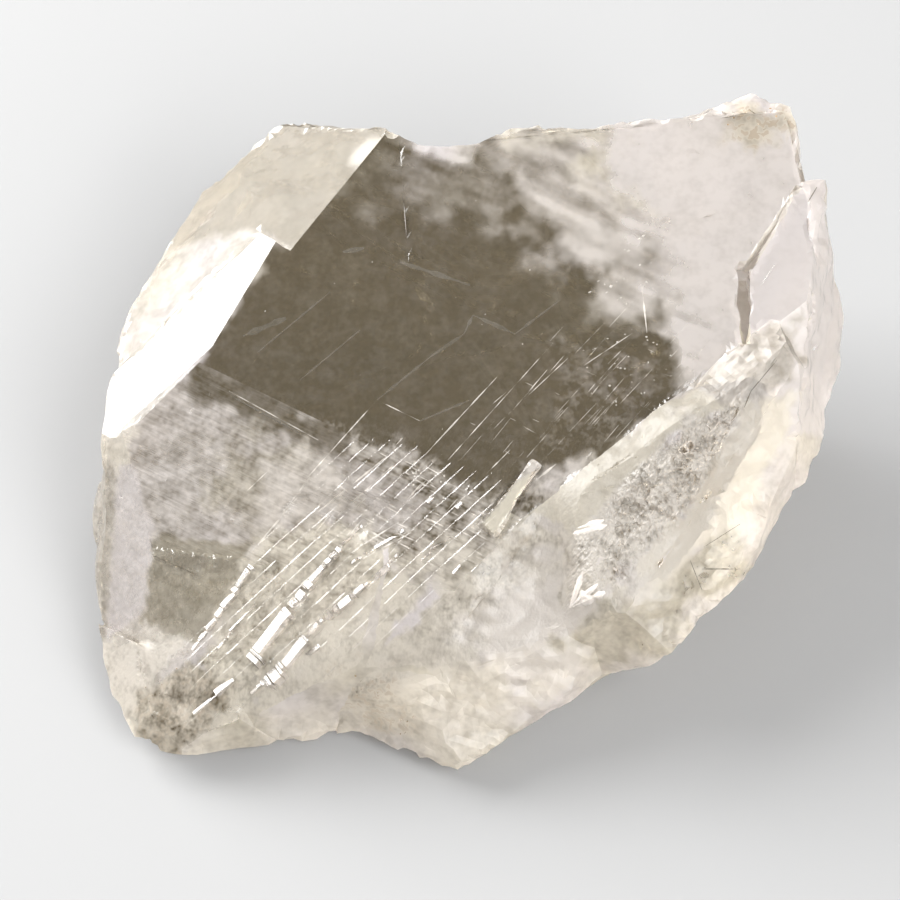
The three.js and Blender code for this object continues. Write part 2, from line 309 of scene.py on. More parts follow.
# %% Smoothing helpers
STEPPED = [(262, 548), (300, 500), (350, 445), (400, 445), (500, 480), (480, 560), (400, 640), (250, 700),
           (185, 725), (190, 648)]
CALMED = [(150, 640), (200, 585), (262, 552), (300, 505), (350, 500), (430, 520), (460, 580), (450, 640),
          (400, 700), (345, 710), (250, 705), (190, 700)]


def relaxed(places, weight, rounds):
    """Every point moves towards the mean of its neighbours by its weight, over and over."""
    here, there = np.concatenate([edge_points, edge_points[:, ::-1]]).T
    count = np.bincount(here)
    for _ in range(rounds):
        mean = np.stack([np.bincount(here, places[there, axis]) / count for axis in range(3)], axis=1)
        places = places + weight[:, None] * (mean - places)
    return places


def smooth_sheet(chosen, degree):
    """Height over the plan of one smooth sheet through the chosen points: a polynomial fitted to them."""
    plan = (places[:, :2] - places[chosen, :2].mean(axis=0)) / 10
    terms = np.stack([plan[:, 0] ** i * plan[:, 1] ** j for i in range(degree + 1)
                      for j in range(degree + 1 - i)], axis=1)
    return terms @ np.linalg.lstsq(terms[chosen], places[chosen, 2], rcond=None)[0]


# %% [markdown]
# Real growth faces meet in crisp edges, while the swells of a break run into each other. So the shading
# is parted only along edges where a growth face ends, and not where the stone is smoothed.

# %% Crisp edges
def crisp_edges():
    """True for the edges where a growth face ends: one of the triangles there belongs to one, and the
    mean of their directions is shorter than the cosine of 2 degrees, so that they turn by over 4."""
    edge_of = read(skin_mesh.loops, "edge_index", 1, np.int32)[:, 0]
    count = np.bincount(edge_of)
    mean = [np.bincount(edge_of, np.repeat(face_normals[:, axis], 3)) / count for axis in range(3)]
    turned = np.linalg.norm(mean, axis=0) < math.cos(math.radians(2))
    return turned & (np.bincount(edge_of, np.repeat(growth_faces, 3)) > 0)


# %% Shape the skin
FACING = -0.3  # least upward share of a point that is smoothed
REACH = 1.6 * MM  # farthest that a point is drawn to the sheet
SHARE, ROUNDS = 0.6, 120  # how far, and how often, a point moves to its neighbours' mean
calm = soft(outside(point_seen, CALMED), 26) * (normals[:, 2] > FACING)
sheet = smooth_sheet(calm > 0.05, 5)
sharp *= 1 - calm
broken *= 1 - 0.5 * calm
wear = sharp * np.clip(0.3 + 0.5 * waves(places, 1.6, 5), 0, 1) * 0.4 * broken
swell = 0.15 * waves(places, 5.5, 3) + 0.045 * waves(places, 1.7, 4)
stepped = soft(outside(point_seen, STEPPED), 40) * upward
across = places @ np.cross(tread, step_way)
along = places @ step_way
slope = math.tan(Vector(tread).angle(Vector(bright)))
breaks = np.clip(0.1 + 0.8 * waves(places, 2.4, 6), 0, 1)
steps = growth_steps(across, along, 1.1, slope, 0.09 * stepped * breaks, 7)

SLAB_GRAIN = [(684, 428), (745, 400), (699, 494), (662, 539), (603, 592), (568, 610), (573, 571), (576, 536),
              (603, 521), (621, 483)]
grain_mask = soft(outside(point_seen, SLAB_GRAIN), 14) * upward
grain = grain_mask * (0.03 * waves(places, 0.7, 11) + 0.02 * waves(places, 0.35, 12))

lift = (broken * swell * (1 - 0.8 * stepped) - wear + steps + grain) * MM
shaped = points + normals * lift[:, None]
shaped[:, 2] += calm * np.clip(sheet * MM - points[:, 2], -REACH, REACH)
SLAB_END = [(545, 492), (578, 478), (604, 520), (600, 610), (570, 625), (545, 560)]
SLAB_FOOT = [(636, 548), (668, 528), (688, 552), (672, 580), (640, 590)]
for worn in (SLAB_END, SLAB_FOOT):
    calm = np.maximum(calm, soft(outside(point_seen, worn), 24) * (normals[:, 2] > FACING))
shaped = relaxed(shaped, SHARE * calm, ROUNDS)
shaped[:, 2] = np.maximum(shaped[:, 2], 0)
resting = points[:, 2] < 0.01 * MM
shaped[resting] = points[resting]
skin_mesh.vertices.foreach_set("co", shaped.ravel())
skin_mesh.update()
crisp = crisp_edges() & (calm[edge_points].max(axis=1) <= 0.5)
skin_mesh.edges.foreach_set("use_edge_sharp", crisp)
print("crisp edges:", int(crisp.sum()), "of", len(crisp))
print("relief moves points by", (lift.min() / MM).round(2), "to", (lift.max() / MM).round(2), "mm")

# %% [markdown]
# ## Clear, cloudy and stained regions
# The stone is clear in the middle and milky around it, because fluid bubbles were trapped as it grew.
# Each region is drawn as it is seen and says how milky it is, how warm its white, how mottled, how
# frosted and how stained. The values are kept on the corners of the triangles. Corners, and not points,
# let a value change sharply where one face meets another.

# %% Looks of the regions
corner_places = points[corners.ravel()] / MM
corner_seen = seen_at(corner_places * MM)
ragged = waves(corner_places, 3.2, 21) + 0.5 * waves(corner_places, 1.1, 22)
upper = np.repeat(face_normals[:, 2] > FACES_UP, 3)
on_clear = np.repeat(in_plane(clear_plane), 3)
beyond = upper & ~on_clear
striated_only = np.repeat(parallel(striated, 3), 3)
looks = {"milk": 0.84 + 0.08 * waves(corner_places, 4.0, 23),
         "warmth": 0.5 + 0.2 * waves(corner_places, 7.0, 24),
         "mottle": np.full(len(ragged), 0.35), "frost": 0.5 * np.repeat(~growth_faces, 3),
         "stain": np.zeros(len(ragged)), "veil": np.zeros(len(ragged))}


def region(outline, faces, border=8, rag=3, **values):
    """Blends the given looks over what is there, inside an outline as seen and on the given faces."""
    low, high = np.min(outline, axis=0) - border - 30, np.max(outline, axis=0) + border + 30
    near = np.flatnonzero(faces & np.all((corner_seen > low) & (corner_seen < high), axis=1))
    share = soft(outside(corner_seen[near], outline) + rag * ragged[near], border)
    for name, value in values.items():
        looks[name][near] += share * (value - looks[name][near])


# %% [markdown]
# The clear face comes first: its window, the veils at its upper right, the milky shoulder and the outer
# crystal in the same plane, and the mottled foot where it passes into the steps.

# %% Clear face
CLEAR_CORE = [(385, 120), (280, 230), (190, 380), (330, 446), (400, 450), (480, 506), (545, 475), (601, 455),
              (635, 435), (684, 393), (674, 330), (657, 250), (560, 165), (475, 145)]
region(CLEAR_CORE, on_clear, border=9, milk=0.02, mottle=0.08)
region([(470, 140), (560, 150), (660, 235), (685, 330), (650, 340), (585, 275), (515, 215)], on_clear,
       border=60, rag=14, milk=0.74, mottle=0.17, warmth=0.4, veil=9)
region([(390, 130), (480, 140), (520, 200), (440, 215), (370, 190)], on_clear, border=50, rag=10, milk=0.24,
       mottle=0.17, veil=7)
region([(560, 345), (680, 330), (690, 395), (600, 460), (540, 450)], on_clear, border=30, rag=8, milk=0.05,
       mottle=0.30)
region([(620, 100), (900, 80), (900, 190), (860, 440), (742, 400), (690, 392), (674, 330), (655, 250),
        (605, 160)], upper, border=28, rag=10, milk=0.96, mottle=0.2, warmth=0.25, frost=0.15)
region([(800, 188), (850, 170), (860, 290), (830, 440), (750, 430), (745, 345), (750, 262)], upper, border=6,
       rag=2, milk=0.98, warmth=0.1, mottle=0.1, frost=0.35)
region([(330, 440), (400, 445), (480, 498), (540, 470), (560, 500), (480, 590), (380, 570), (310, 500)],
       upper, border=24, rag=8, milk=0.30, mottle=0.8, warmth=0.5)

# %% [markdown]
# Left of it lie the milky face, with a white spot at its corner that is a painted highlight, the striated
# face with a clear strip under its upper edge, and the warm clear patch on the widest tread. A white rim is
# broken along the top edge.

# %% Left faces
region([(258, 98), (400, 118), (310, 262), (250, 228), (165, 252), (178, 178)], beyond, rag=2,
       milk=0.50, warmth=0.75, mottle=0.10, frost=0)
# A painted highlight: the corner spot is made fully milky, as white as the flash of a small step there.
region([(354, 152), (372, 136), (386, 138), (368, 164), (350, 164)], beyond, rag=1, milk=1)
region([(412, 130), (470, 138), (478, 160), (440, 156), (414, 148)], upper, milk=0.9,
       mottle=0.4, frost=0.8)
region([(160, 380), (330, 436), (430, 500), (420, 525), (260, 548), (150, 534), (125, 460)], striated_only,
       milk=0.62, warmth=0.3, mottle=0.5)
region([(195, 355), (345, 430), (360, 462), (300, 448), (235, 415), (190, 395)], striated_only, border=12,
       milk=0.10, warmth=0.4, mottle=0.2)
region([(235, 440), (300, 440), (330, 470), (270, 520), (200, 500)], striated_only, border=40, rag=10,
       milk=0.50, warmth=0.75, mottle=0.5)
region([(140, 540), (258, 540), (200, 645), (140, 620)], beyond, border=7, milk=0.36, warmth=0.9,
       mottle=0.25)

# %% [markdown]
# The front lobe is milky between its steps, grey and mottled at its left foot and white at the toe. A cool
# white patch on one of its risers is a painted reflection. The cloudy body joins it at the right.

# %% Front lobe
region([(250, 550), (320, 500), (420, 560), (340, 650), (260, 710), (190, 710)], beyond, border=20, rag=6,
       milk=0.76, warmth=0.85, mottle=0.75)
region([(300, 640), (400, 570), (440, 600), (420, 660), (350, 730), (220, 740)], beyond, border=30, rag=8,
       milk=0.96, warmth=0.8, mottle=0.5)
region([(90, 640), (190, 638), (150, 690), (125, 740), (90, 720)], beyond, rag=4, milk=0.95,
       warmth=0.7, mottle=0.5, frost=0.9)
region([(190, 655), (130, 715), (150, 760), (200, 745), (225, 690)], beyond, border=12, rag=5, milk=0.50,
       warmth=0.85, mottle=0.9, frost=0.8, stain=0.25)
region([(117, 462), (133, 463), (153, 529), (145, 612), (105, 642)], beyond, border=6, rag=2, milk=0.82,
       warmth=0.1, mottle=0.25, frost=0)
region([(85, 450), (117, 463), (105, 642), (85, 642)], beyond, border=5, rag=1, milk=0.50, warmth=0.6)
region([(265, 470), (330, 455), (352, 500), (305, 530), (262, 520)], striated_only, border=26, rag=8,
       milk=0.84, warmth=0.5, mottle=0.5)
region([(430, 545), (540, 510), (580, 560), (520, 600), (440, 640), (400, 620)], beyond, border=34, rag=10,
       milk=0.78, warmth=0.75, mottle=0.7)
# A painted reflection: a cool white patch stands for the lilac flash of a riser.
region([(446, 593), (432, 578), (402, 620), (381, 648), (420, 622)], beyond, border=6, rag=2, milk=0.95,
       warmth=0, mottle=0.2)
region([(490, 590), (560, 560), (640, 600), (600, 680), (500, 700), (470, 650)], beyond, border=50, rag=12,
       milk=1, warmth=0.45, mottle=0.15)

# %% [markdown]
# The slab has a warm band along its upper edge, etched grain in its middle, white broken ends and a
# smooth warm side. Iron stains the tip at the back and one notch of the front edge.

# %% Slab, right side and stains
region([(684, 390), (601, 455), (530, 508), (576, 536), (621, 483), (684, 428), (745, 400), (760, 370)],
       beyond, border=6, rag=2, milk=0.80, warmth=0.9, mottle=0.12, frost=1)
region([(690, 380), (735, 345), (795, 320), (800, 365), (750, 400), (720, 402)], beyond, border=10, rag=4,
       milk=0.52, warmth=0.4, mottle=0.3, frost=1)
region([(556, 458), (541, 482), (497, 535), (482, 524), (518, 480)], beyond, border=4, rag=1, milk=0.9,
       warmth=1, mottle=0.1, frost=0.4)
region(SLAB_GRAIN, beyond, border=14, rag=6, milk=0.80, warmth=0.6, mottle=0.8, frost=0.8)
region([(574, 538), (582, 522), (606, 518), (610, 532), (592, 538)], beyond, border=4, rag=2, milk=1,
       mottle=0.1, frost=1)
region([(566, 612), (571, 570), (603, 570), (614, 592), (592, 607)], beyond, border=5, rag=2, milk=1,
       mottle=0.1, frost=1)
region([(745, 400), (800, 395), (745, 524), (654, 582), (590, 615), (650, 555), (699, 494)], beyond,
       milk=1, warmth=0.75, mottle=0.08, frost=0.6)
region([(685, 560), (735, 530), (745, 572), (700, 605), (662, 605)], beyond, border=12, rag=4, milk=0.52,
       warmth=0.95, mottle=0.45)
region([(380, 650), (480, 640), (520, 690), (480, 760), (400, 740), (350, 720)], beyond, border=30, rag=8,
       milk=0.90, warmth=0.7, mottle=0.4)
region([(600, 600), (690, 590), (690, 640), (610, 670), (570, 640)], beyond, border=24, rag=10, milk=0.62,
       warmth=0.9, mottle=0.4)
region([(740, 104), (785, 104), (800, 122), (770, 142), (725, 138)], upper, border=14, rag=6, stain=0.55,
       warmth=0.9, mottle=0.7, frost=0.8)
region([(340, 672), (380, 672), (420, 722), (400, 742), (350, 710)], beyond, border=16, rag=8, stain=0.35,
       mottle=0.9)


# %% Keep the looks on the skin
def store(mesh, name, values, domain="POINT"):
    """Keeps one value for each element of a mesh as a named attribute."""
    layer = mesh.attributes.new(name, "FLOAT", domain)
    layer.data.foreach_set("value", np.ascontiguousarray(values, np.float32))


chipped_edge = (sharp * broken)[corners.ravel()]
looks["milk"] += 0.25 * chipped_edge
looks["frost"] += 0.8 * chipped_edge
for name, values in looks.items():
    store(skin_mesh, name, np.clip(values, 0, 10), "CORNER")
store(skin_mesh, "striated", parallel(striated, 3), "FACE")
store(skin_mesh, "stepped", stepped)
store(skin_mesh, "grain", grain_mask)
store(skin_mesh, "broken", broken)
print("looks kept on", len(ragged), "corners")

# %% [markdown]
# ## Finish that is finer than the mesh
# Three shader groups carry what the mesh is too coarse for. One makes short growth steps. One draws
# noise out into streaks: long for striations and veils, short for etched grain. One turns milk, warmth
# and stain into colour and roughness. All work in millimetres, so they stay on the stone from every side.

# %% Node helpers
def plug(socket, value):
    """Links a node's output to an input, or sets the input to a plain value."""
    if isinstance(value, bpy.types.NodeSocket):
        socket.id_data.links.new(value, socket)
    else:
        socket.default_value = value


def add(tree, kind, inputs, **settings):
    """Adds a node with the given settings and inputs, and gives the first output that is in use."""
    node = tree.nodes.new("ShaderNode" + kind)
    for name, value in settings.items():
        setattr(node, name, value)
    for name, value in inputs.items():
        plug(node.inputs[name], value)
    return next(output for output in node.outputs if output.enabled)


def calc(tree, operation, *values):
    """A maths node with its values."""
    return add(tree, "Math", dict(enumerate(values)), operation=operation)


def dot(tree, first, second):
    """How far one vector reaches along another."""
    return add(tree, "VectorMath", {0: first, 1: second}, operation="DOT_PRODUCT")


def noise(tree, place, scale, detail=0.0):
    """Smooth noise from 0 to 1 with a number of waves per mm."""
    return add(tree, "TexNoise", {"Vector": place, "Scale": scale, "Detail": detail})


def blend(tree, share, first, second):
    """A colour between two, at a share of the way from the first."""
    return add(tree, "Mix", {"Factor": share, "A": first, "B": second}, data_type="RGBA")


def new_group(name, inputs, outputs):
    """A shader group with typed, named inputs and outputs, and the sockets inside it."""
    group = bpy.data.node_groups.new(name, "ShaderNodeTree")
    for label, value in inputs.items():
        kind = "Float" if isinstance(value, (int, float)) else "Vector" if len(value) == 3 else "Color"
        socket = group.interface.new_socket(label, in_out="INPUT", socket_type="NodeSocket" + kind)
        socket.default_value = value
    for label, kind in outputs.items():
        group.interface.new_socket(label, in_out="OUTPUT", socket_type="NodeSocket" + kind)
    return group, group.nodes.new("NodeGroupInput").outputs, group.nodes.new("NodeGroupOutput").inputs


def use(tree, group, **inputs):
    """Puts a group into a material with its inputs set, and gives its outputs."""
    node = tree.nodes.new("ShaderNodeGroup")
    node.node_tree = group
    for name, value in inputs.items():
        plug(node.inputs[name.replace("_", " ")], value)
    return node.outputs


# %% Growth steps group
steps_group, given, result = new_group("Growth steps", {
    "Place": (0, 0, 0), "Along": (1, 0, 0), "Across": (0, 1, 0), "Spacing": 0.8, "Length": 1.2,
    "Slope": 0.6, "Height": 0.1}, {"Height": "Float"})
place = calc(steps_group, "DIVIDE", dot(steps_group, given["Place"], given["Across"]), given["Spacing"])
step = calc(steps_group, "FLOOR", place)
shift = add(steps_group, "TexWhiteNoise", {"W": step}, noise_dimensions="1D")
run = calc(steps_group, "DIVIDE", dot(steps_group, given["Place"], given["Along"]), given["Length"])
block = calc(steps_group, "FLOOR", calc(steps_group, "MULTIPLY_ADD", shift, 7.0, run))
pair = add(steps_group, "CombineXYZ", {"X": step, "Y": block})
own = add(steps_group, "TexWhiteNoise", {"Vector": pair}, noise_dimensions="2D")
climbed = calc(steps_group, "FRACT", place)
whole_climb = calc(steps_group, "MULTIPLY", given["Slope"], given["Spacing"])
climb = calc(steps_group, "MULTIPLY", climbed, whole_climb)
sink = calc(steps_group, "MULTIPLY", calc(steps_group, "SUBTRACT", 1.0, climbed),
            calc(steps_group, "MULTIPLY", own, given["Height"]))
plug(result["Height"], calc(steps_group, "MINIMUM", climb, sink))

# %% Striations group
striae_group, given, result = new_group("Striations", {
    "Place": (0, 0, 0), "Along": (0.3, 0, 0), "Across": (0, 6, 0)}, {"Streak": "Float"})
drawn = add(striae_group, "CombineXYZ", {"X": dot(striae_group, given["Place"], given["Along"]),
                                         "Y": dot(striae_group, given["Place"], given["Across"])})
plug(result["Streak"], noise(striae_group, drawn, 1.0, 1.0))

# %% Milk group
# The clear tint is dark, which is painted shade: it stands for the dark seen through the clear face.
milk_group, given, result = new_group("Milk", {
    "Place": (0, 0, 0), "Milk": 0.8, "Warmth": 0.5, "Mottle": 0.3, "Frost": 0.0, "Stain": 0.0, "Streak": 0.5,
    "Clear tint with painted shade": (0.135, 0.108, 0.062, 1), "Cool white": (0.93, 0.87, 0.87, 1),
    "Warm white": (0.95, 0.88, 0.73, 1), "Rust": (0.36, 0.22, 0.09, 1)},
    {"Color": "Color", "Roughness": "Float"})
cloud = calc(milk_group, "SUBTRACT", noise(milk_group, given["Place"], 0.8), 0.5)
fleck = calc(milk_group, "SUBTRACT", noise(milk_group, given["Place"], 2.4, 1.0), 0.5)
streak = calc(milk_group, "SUBTRACT", given["Streak"], 0.5)
spread = calc(milk_group, "ADD", calc(milk_group, "MULTIPLY_ADD", cloud, 1.2, streak),
              calc(milk_group, "MULTIPLY", fleck, 1.6))
level = calc(milk_group, "MULTIPLY_ADD", spread, given["Mottle"], given["Milk"])
level = add(milk_group, "Clamp", {"Value": level})
white = blend(milk_group, given["Warmth"], given["Cool white"], given["Warm white"])
milky = blend(milk_group, level, given["Clear tint with painted shade"], white)
spots = calc(milk_group, "MULTIPLY", calc(milk_group, "GREATER_THAN", fleck, 0.06), 0.7)
rusty = calc(milk_group, "MULTIPLY", given["Stain"], calc(milk_group, "ADD", spots, 0.3))
plug(result["Color"], blend(milk_group, rusty, milky, given["Rust"]))
plug(result["Roughness"], calc(milk_group, "MULTIPLY_ADD", given["Frost"], 0.30,
                               calc(milk_group, "MULTIPLY_ADD", level, 0.24, 0.03)))

# %% [markdown]
# ## Quartz
# Clear quartz bends light by 1.544 and takes little of it up, with a trace of smoke. Its clear parts are
# given a dark colour all the same, which is painted shade. Where it is milky, tiny bubbles under the surface
# turn light back, so about a quarter of the light is scattered at the skin.
# The stone has three versions of this material, which differ only in relief and streaks: swells on
# broken ground, drawn lines on the worked faces, and long veils without relief under the clear face.

# %% Directions of the relief
def sideways(normal, way):
    """The direction in a face that is square to another one in it."""
    return unit(np.cross(normal, way))


rise_way = unit((bright @ tread) * tread - bright)
veil_way = unit(on_plane(clear_plane, 620, 215) - on_plane(clear_plane, 480, 150))
STEP_DRAWING = dict(Along=tuple(sideways(tread, rise_way)), Across=tuple(rise_way), Spacing=0.8, Length=1.1,
                    Slope=0.62, Height=0.06)
# Directions of a drawing, each as long as the waves per mm along it and across it.
STRIAE = dict(Along=striation_way / 3.0, Across=sideways(striated, striation_way) * 5.0)
ETCHING = dict(Along=step_way / 0.34, Across=sideways(clear, step_way) * 4.2)
WISPS = dict(Along=veil_way / 5.0, Across=sideways(clear, veil_way) * 0.9)


# %% Quartz material
QUARTZ_IOR = 1.544


def new_material(name, **inputs):
    """A material with some inputs of its shader set: the material, its nodes and the shader."""
    material = bpy.data.materials.new(name)
    material.use_nodes = True
    shader = material.node_tree.nodes["Principled BSDF"]
    for label, value in inputs.items():
        plug(shader.inputs[label.replace("_", " ")], value)
    return material, material.node_tree, shader


def colour(tree, shader, **inputs):
    """Gives a shader the colour and roughness of the milk group."""
    look = use(tree, milk_group, **inputs)
    plug(shader.inputs["Base Color"], look["Color"])
    plug(shader.inputs["Roughness"], look["Roughness"])


def attribute(tree, name):
    """A value that is kept on the mesh."""
    return add(tree, "Attribute", {}, attribute_name=name).node.outputs["Fac"]


def millimetres(tree):
    """Object coordinates in millimetres."""
    local = tree.nodes.new("ShaderNodeTexCoord").outputs["Object"]
    return add(tree, "VectorMath", {0: local, "Scale": 1 / MM}, operation="SCALE")


def masked(tree, name, value, height=1.0):
    """A relief value times its mask times its height in mm."""
    return calc(tree, "MULTIPLY", calc(tree, "MULTIPLY", attribute(tree, name), value), height)


def worked_relief(tree, place):
    """Relief and colour streaks of the striated, stepped and etched faces."""
    steps = use(tree, steps_group, Place=place, **STEP_DRAWING)["Height"]
    drawing = {}
    for way in ("Along", "Across"):
        choice = {"Factor": attribute(tree, "striated"), "A": tuple(ETCHING[way]), "B": tuple(STRIAE[way])}
        drawing[way] = add(tree, "Mix", choice, data_type="VECTOR")
    streak = use(tree, striae_group, Place=place, **drawing)["Streak"]
    depth = calc(tree, "MULTIPLY_ADD", attribute(tree, "grain"), 0.18, 0.04)
    relief = calc(tree, "MULTIPLY_ADD", streak, depth, masked(tree, "stepped", steps))
    return relief, streak


def veiled_relief(tree, place):
    """No relief, and long soft wisps under the clear face."""
    along, across = (tuple(WISPS[way]) for way in ("Along", "Across"))
    wisp = use(tree, striae_group, Place=place, Along=along, Across=across)["Streak"]
    streak = calc(tree, "MULTIPLY_ADD", calc(tree, "SUBTRACT", wisp, 0.5), attribute(tree, "veil"), 0.5)
    return 0.0, streak


def broken_relief(tree, place):
    """The shallow swells of a shell-like fracture, without streaks."""
    return masked(tree, "broken", noise(tree, place, 1.1), 0.16), 0.5


def make_quartz(name, relief_of):
    """See-through quartz that reads its looks from the skin, with the relief and streaks of a function."""
    material, tree, shader = new_material(name, IOR=QUARTZ_IOR, Transmission_Weight=0.74)
    absorbing = add(tree, "VolumeAbsorption", {"Color": (0.84, 0.80, 0.70, 1), "Density": 30.0})
    plug(tree.nodes["Material Output"].inputs["Volume"], absorbing)
    place = millimetres(tree)
    relief, streak = relief_of(tree, place)
    if relief:
        plug(shader.inputs["Normal"], add(tree, "Bump", {"Height": relief, "Distance": MM}))
    kept = {look: attribute(tree, look.lower()) for look in ("Milk", "Warmth", "Mottle", "Frost", "Stain")}
    colour(tree, shader, Place=place, Streak=streak, **kept)
    return material


quartz = make_quartz("quartz", broken_relief)
worked_quartz = make_quartz("quartz_worked", worked_relief)
veiled_quartz = make_quartz("quartz_veiled", veiled_relief)
for material in (quartz, worked_quartz, veiled_quartz):
    skin_mesh.materials.append(material)
worked = (outside(face_seen, DETAILED) < 12) & (face_normals[:, 2] > FACES_UP)
kinds = np.where(worked, 1, np.where(in_plane(clear_plane), 2, 0))
skin_mesh.polygons.foreach_set("material_index", kinds.astype(np.int32))
print("triangles of plain, worked and veiled quartz:", np.bincount(kinds))

# %% [markdown]
# ## Small pieces on the skin
# Growth lines, bright steps and grains are too small for the skin's own mesh. Each is a short closed bar
# with its foot sunk in the skin, drawn from where it is seen. One function makes every bar, from a path
# and an outline at each station of the path, so all the bars of one kind are built at once.

# %% Find places on the skin
skin_tree = BVHTree.FromPolygons(shaped.tolist(), corners.tolist())


def on_skin(pixels):
    """Place and outward direction of the skin seen at each pixel, not-a-number where it is missed."""
    found = [skin_tree.ray_cast(EYE, Vector(way))[:2] for way in sight(pixels)]
    lost = (math.nan,) * 3
    return np.array([hit or lost for hit, out in found]), np.array([out or lost for hit, out in found])


def make_bars(name, path, offsets, material, looks):
    """One object with a closed bar along each path: each station's outline is the path's point plus its
    offsets, the sides join neighbouring outlines, and the first and last outline are the ends."""
    whole = np.isfinite(path).all(axis=(1, 2)) & np.isfinite(offsets).all(axis=(1, 2, 3))
    path, offsets = path[whole], offsets[whole]
    count, stations, around = offsets.shape[:3]
    index = np.arange(count * stations * around).reshape(count, stations, around)
    here, on = index[:, :-1], index[:, 1:]
    sides = np.stack([here, np.roll(here, -1, 2), np.roll(on, -1, 2), on], -1).reshape(-1, 4)
    ends = np.concatenate([index[:, 0, ::-1], index[:, -1]])
    mesh = bpy.data.meshes.new(name)
    outlines = (path[:, :, None] + offsets).reshape(-1, 3)
    mesh.from_pydata(outlines.tolist(), [], sides.tolist() + ends.tolist())
    build = bmesh.new()
    build.from_mesh(mesh)
    bmesh.ops.recalc_face_normals(build, faces=build.faces[:])
    build.to_mesh(mesh)
    build.free()
    for look_name, value in looks.items():
        store(mesh, look_name, np.full(len(mesh.vertices), value))
    mesh.materials.append(material)
    piece = put(name, mesh)
    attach(piece, "root")
    print(name + ":", count, "bars,", len(mesh.polygons), "faces")


def scatter(zone, count, angle, lengths, widths, seed):
    """Short lines at an angle as seen, spread over an outline: rows of both ends and a width."""
    dice = np.random.default_rng(seed)
    starts = dice.uniform(np.min(zone, axis=0), np.max(zone, axis=0), (count * 5, 2))
    starts = starts[outside(starts, zone) < 0][:count]
    turns = np.radians(angle + dice.normal(0, 2, len(starts)))
    runs = np.stack([np.cos(turns), -np.sin(turns)], 1) * dice.uniform(*lengths, (len(starts), 1))
    return np.hstack([starts, starts + runs, dice.uniform(*widths, (len(starts), 1))])


# %% [markdown]
# ## Growth lines
# Fine pale ridges cross the clear face in two directions. The long ones run up to the right, short ones
# run down to the right, and together they outline small steps. Where the clear face meets the stepped
# part they crowd into a hatching. Each one is a low ridge, thinner towards its ends.

# %% Growth lines
UPWARD, DOWNWARD = 48, -27  # the two directions as seen, in degrees
DRAWN_LINES = [(307, 478, 377, 400, 1.7), (377, 400, 420, 421, 1.2), (423, 457, 497, 377, 1.6),
               (448, 460, 510, 391, 1.2), (510, 391, 553, 343, 0.9), (513, 410, 547, 370, 1.2),
               (521, 402, 568, 358, 0.8), (487, 473, 510, 450, 1.0), (229, 391, 318, 440, 1.3),
               (247, 491, 268, 471, 1.5), (257, 546, 302, 492, 2.0), (277, 520, 310, 477, 1.1),
               (642, 287, 647, 333, 1.6), (577, 370, 637, 330, 1.0), (318, 512, 399, 447, 2.0),
               (332, 521, 408, 452, 1.6), (556, 464, 536, 480, 2.4), (352, 552, 399, 522, 1.8),
               (361, 560, 410, 533, 1.4), (300, 704, 389, 610, 1.0)]
PHANTOMS = [(377, 400, 430, 357, 4), (430, 357, 464, 334, 4), (464, 334, 473, 315, 4),
            (473, 315, 515, 334, 5), (420, 421, 470, 400, 4), (258, 352, 330, 292, 3),
            (343, 252, 364, 248, 11), (243, 336, 286, 318, 9), (400, 262, 470, 285, 6),
            (300, 380, 360, 330, 3), (515, 334, 560, 300, 4)]
HATCHED = [(322, 470), (400, 446), (484, 506), (478, 560), (430, 570), (330, 530)]
CLEAR_FRONT = [(430, 455), (560, 330), (672, 335), (682, 388), (600, 452), (500, 492)]
LOBE = [(262, 550), (300, 505), (420, 560), (330, 650), (230, 715), (185, 690)]
STATIONS = 17  # outlines along each line


def ridges(name, lines, material, looks, height=0.2, least=0.06):
    """Low ridges along lines as seen. Width and height fall to a third at both ends as a half wave, and
    nearly to nothing wherever a random field is low, so that the lines are interrupted."""
    share = np.linspace(0, 1, STATIONS)
    pixels = lines[:, None, :2] * (1 - share[:, None]) + lines[:, None, 2:4] * share[:, None]
    places, outward = (found.reshape(len(lines), STATIONS, 3) for found in on_skin(pixels.reshape(-1, 2)))
    along = unit(places[:, -1:] - places[:, :1])
    aside = unit(np.cross(outward, along))
    ragged_size = np.clip(0.6 + 0.7 * waves(places.reshape(-1, 3) / MM, 1.3, 40), least, 1)
    size = lines[:, 4, None, None] * (0.33 + 0.67 * np.sin(np.pi * share))[:, None] * SEEN / IMAGE / 2
    size = size * ragged_size.reshape(len(lines), STATIONS, 1)
    offsets = np.stack([aside * size, outward * size * height, -aside * size, -outward * size], axis=2)
    make_bars(name, places, offsets, material, looks)


# %% Materials of the small pieces
def make_grain(name, transmission, **looks):
    """Even material of the small pieces, coloured by the same group as the skin."""
    material, tree, shader = new_material(name, IOR=QUARTZ_IOR, Transmission_Weight=transmission)
    colour(tree, shader, Place=millimetres(tree), **looks)
    return material


chipped = make_grain("chipped_quartz", 0.6, Milk=0.62, Mottle=0.6, Frost=0.8)
white = make_grain("white_quartz", 0.55, Milk=0.95, Mottle=0.7, Frost=1.0, Warmth=0.4)
phantom = make_grain("phantom_quartz", 0.74, Milk=0.13, Mottle=0.1, Frost=0.1)

# %% [markdown]
# The same ridges, wider or flatter, make the white crests of the slab's broken ends, the faint outlines
# of older faces inside the stone and the fine cracks.

